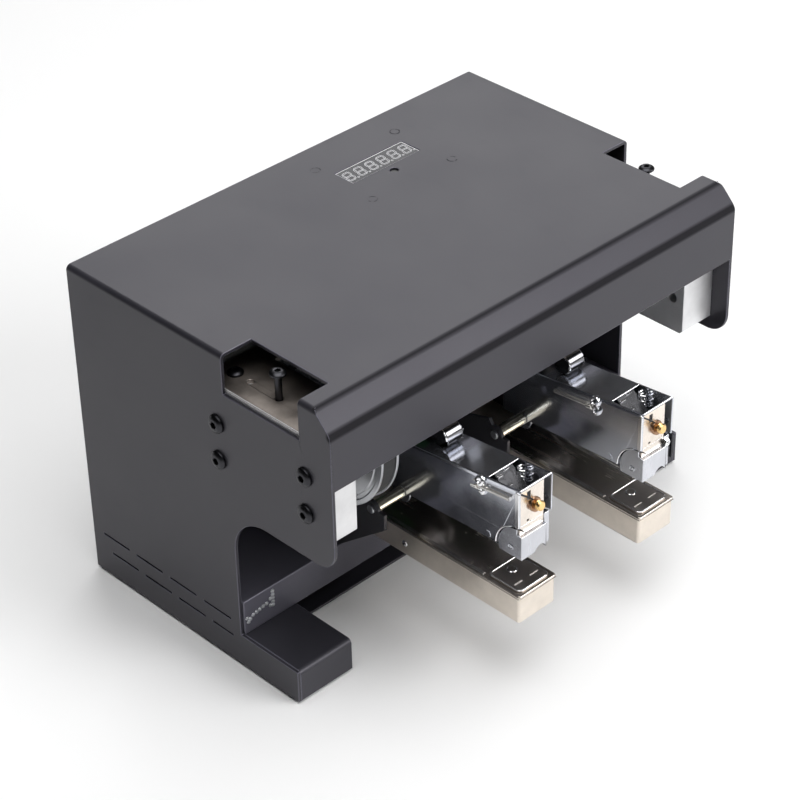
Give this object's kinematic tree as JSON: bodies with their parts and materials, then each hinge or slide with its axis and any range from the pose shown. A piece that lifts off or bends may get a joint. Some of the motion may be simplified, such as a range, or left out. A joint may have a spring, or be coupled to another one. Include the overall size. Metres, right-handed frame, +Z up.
{
  "type": "electric stapler",
  "caption": "Free-standing electric stapler: a motor, cam shaft and press beam in a folded steel housing drive side-by-side chrome heads onto anvil arms.",
  "frame": {"origin": "centre of the overall box, on the surface that it stands on", "axes": "+X to the right seen from the front, +Y from the front to the back, +Z up"},
  "size_m": [0.3062, 0.2446, 0.198],
  "materials": {
    "housing_paint": "satin black paint with a fine texture",
    "rubber_pads": "matt black rubber",
    "block_aluminium": "milled aluminium",
    "black_screws": "black oxide",
    "dark_screws": "dark zinc",
    "tie_plate_zinc": "dulled zinc plate",
    "bright_steel": "ground steel",
    "spring_steel": "drawn spring wire",
    "gearmotor_body": "grey paint",
    "black_bracket": "semi-gloss black",
    "belt_rubber": "matt belt rubber",
    "board_green": "solder mask",
    "display_smoke": "dark display window",
    "stud_steel": "plain steel",
    "socket_plastic": "black moulded plastic",
    "arm_nickel": "nickel plated steel",
    "cap_nickel": "nickel plated steel",
    "anvil_steel": "hardened plate",
    "yellow_zinc": "yellow zinc",
    "wheel_aluminium": "turned aluminium",
    "cam_steel": "ground cam steel",
    "plunger_chrome": "polished chrome",
    "magazine_steel": "dark plated steel",
    "nose_steel": "plated steel",
    "front_plate_steel": "warm nickel",
    "cover_chrome": "polished chrome",
    "blade_steel": "spring steel",
    "rod_steel": "bright wire",
    "pusher_plastic": "dark plastic",
    "pin_brass": "turned brass"
  },
  "bodies": {
    "stand": {"housing": "housing_paint", "back_panel": "housing_paint", "deck": "housing_paint", "bottom_cover": "housing_paint", "left_foot": "housing_paint", "right_foot": "housing_paint", "foot_pads": "rubber_pads", "left_block": "block_aluminium", "right_block": "block_aluminium", "side_screws": "black_screws", "tie_plate": "tie_plate_zinc", "tie_screws": "black_screws", "adjusting_screws": "dark_screws", "shaft_bearings": "bright_steel", "guide_posts": "bright_steel", "return_springs": "spring_steel", "gearmotor": "gearmotor_body", "motor_bracket": "black_bracket", "drive_belt": "belt_rubber", "control_board": "board_green", "display": "display_smoke", "board_studs": "stud_steel", "power_inlet": "socket_plastic", "power_switch": "socket_plastic", "pedal_socket": "socket_plastic", "rear_screws": "black_screws", "left_arm": "arm_nickel", "right_arm": "arm_nickel", "left_arm_cap": "cap_nickel", "right_arm_cap": "cap_nickel", "anvils": "anvil_steel", "left_bracket": "black_bracket", "right_bracket": "black_bracket", "pivot_pins": "bright_steel", "pivot_spacers": "yellow_zinc"},
    "camshaft": {"main_shaft": "bright_steel", "drive_wheel": "wheel_aluminium", "lift_cams": "cam_steel"},
    "motor_drive": {"motor_wheel": "wheel_aluminium"},
    "press": {"press_beam": "black_bracket", "plungers": "plunger_chrome", "cam_rollers": "bright_steel"},
    "left_head": {"left_magazine": "magazine_steel", "left_nose": "nose_steel", "left_front_plate": "front_plate_steel"},
    "left_hood": {"left_cover": "cover_chrome", "left_driver": "blade_steel", "left_side_rod": "rod_steel"},
    "left_feed": {"left_pusher": "pusher_plastic"},
    "left_catch": {"left_release_pin": "pin_brass"},
    "right_head": {"right_magazine": "magazine_steel", "right_nose": "nose_steel", "right_front_plate": "front_plate_steel"},
    "right_hood": {"right_cover": "cover_chrome", "right_driver": "blade_steel", "right_side_rod": "rod_steel"},
    "right_feed": {"right_pusher": "pusher_plastic"},
    "right_catch": {"right_release_pin": "pin_brass"},
    "rocker": {"switch_rocker": "socket_plastic"},
    "button": {"reset_button": "socket_plastic"}
  },
  "joints": [
    {"name": "camshaft_turn", "type": "hinge", "parent": "stand", "child": "camshaft", "pos_m": [0, -0.02806, 0.14329], "axis": [1, 0, 0], "range_deg": [0, 180]},
    {"name": "motor_turn", "type": "hinge", "parent": "stand", "child": "motor_drive", "pos_m": [-0.101, 0.07029, 0.095], "axis": [1, 0, 0], "range_deg": [0, 570]},
    {"name": "press_stroke", "type": "slide", "parent": "stand", "child": "press", "axis": [0, 0, -1], "range_m": [0, 0.00657], "stiffness_N_per_m": 600, "springref_m": -0.01, "deforming": ["return_springs"]},
    {"name": "left_head_turn", "type": "hinge", "parent": "stand", "child": "left_head", "pos_m": [-0.0465, -0.03221, 0.0825], "axis": [1, 0, 0], "range_deg": [0, 13.5]},
    {"name": "left_cover_turn", "type": "hinge", "parent": "left_head", "child": "left_hood", "pos_m": [-0.0465, -0.03221, 0.0825], "axis": [1, 0, 0], "range_deg": [0, 4.5]},
    {"name": "left_feed_slide", "type": "slide", "parent": "left_head", "child": "left_feed", "axis": [0, 0.9985, -0.0541], "range_m": [0, 0.045], "stiffness_N_per_m": 20, "springref_m": -0.03},
    {"name": "left_release_press", "type": "slide", "parent": "left_head", "child": "left_catch", "axis": [0, 0.9659, -0.2588], "range_m": [0, 0.0012], "stiffness_N_per_m": 400, "springref_m": -0.001},
    {"name": "right_head_turn", "type": "hinge", "parent": "stand", "child": "right_head", "pos_m": [0.0465, -0.03221, 0.0825], "axis": [1, 0, 0], "range_deg": [0, 13.5]},
    {"name": "right_cover_turn", "type": "hinge", "parent": "right_head", "child": "right_hood", "pos_m": [0.0465, -0.03221, 0.0825], "axis": [1, 0, 0], "range_deg": [0, 4.5]},
    {"name": "right_feed_slide", "type": "slide", "parent": "right_head", "child": "right_feed", "axis": [0, 0.9985, -0.0541], "range_m": [0, 0.045], "stiffness_N_per_m": 20, "springref_m": -0.03},
    {"name": "right_release_press", "type": "slide", "parent": "right_head", "child": "right_catch", "axis": [0, 0.9659, -0.2588], "range_m": [0, 0.0012], "stiffness_N_per_m": 400, "springref_m": -0.001},
    {"name": "switch_turn", "type": "hinge", "parent": "stand", "child": "rocker", "pos_m": [0.062, 0.11429, 0.078], "axis": [1, 0, 0], "range_deg": [-20, 0]},
    {"name": "reset_press", "type": "slide", "parent": "stand", "child": "button", "axis": [0, 0, -1], "range_m": [0, 0.001], "stiffness_N_per_m": 300, "springref_m": -0.001}
  ],
  "couplings": [
    {"joint": "motor_turn", "follows": "camshaft_turn", "ratio": 3.1667},
    {"joint": "press_stroke", "follows": "camshaft_turn", "m_per_rad": 0.0020921},
    {"joint": "left_head_turn", "follows": "camshaft_turn", "ratio": 0.075},
    {"joint": "left_cover_turn", "follows": "camshaft_turn", "ratio": 0.025},
    {"joint": "right_head_turn", "follows": "camshaft_turn", "ratio": 0.075},
    {"joint": "right_cover_turn", "follows": "camshaft_turn", "ratio": 0.025}
  ]
}
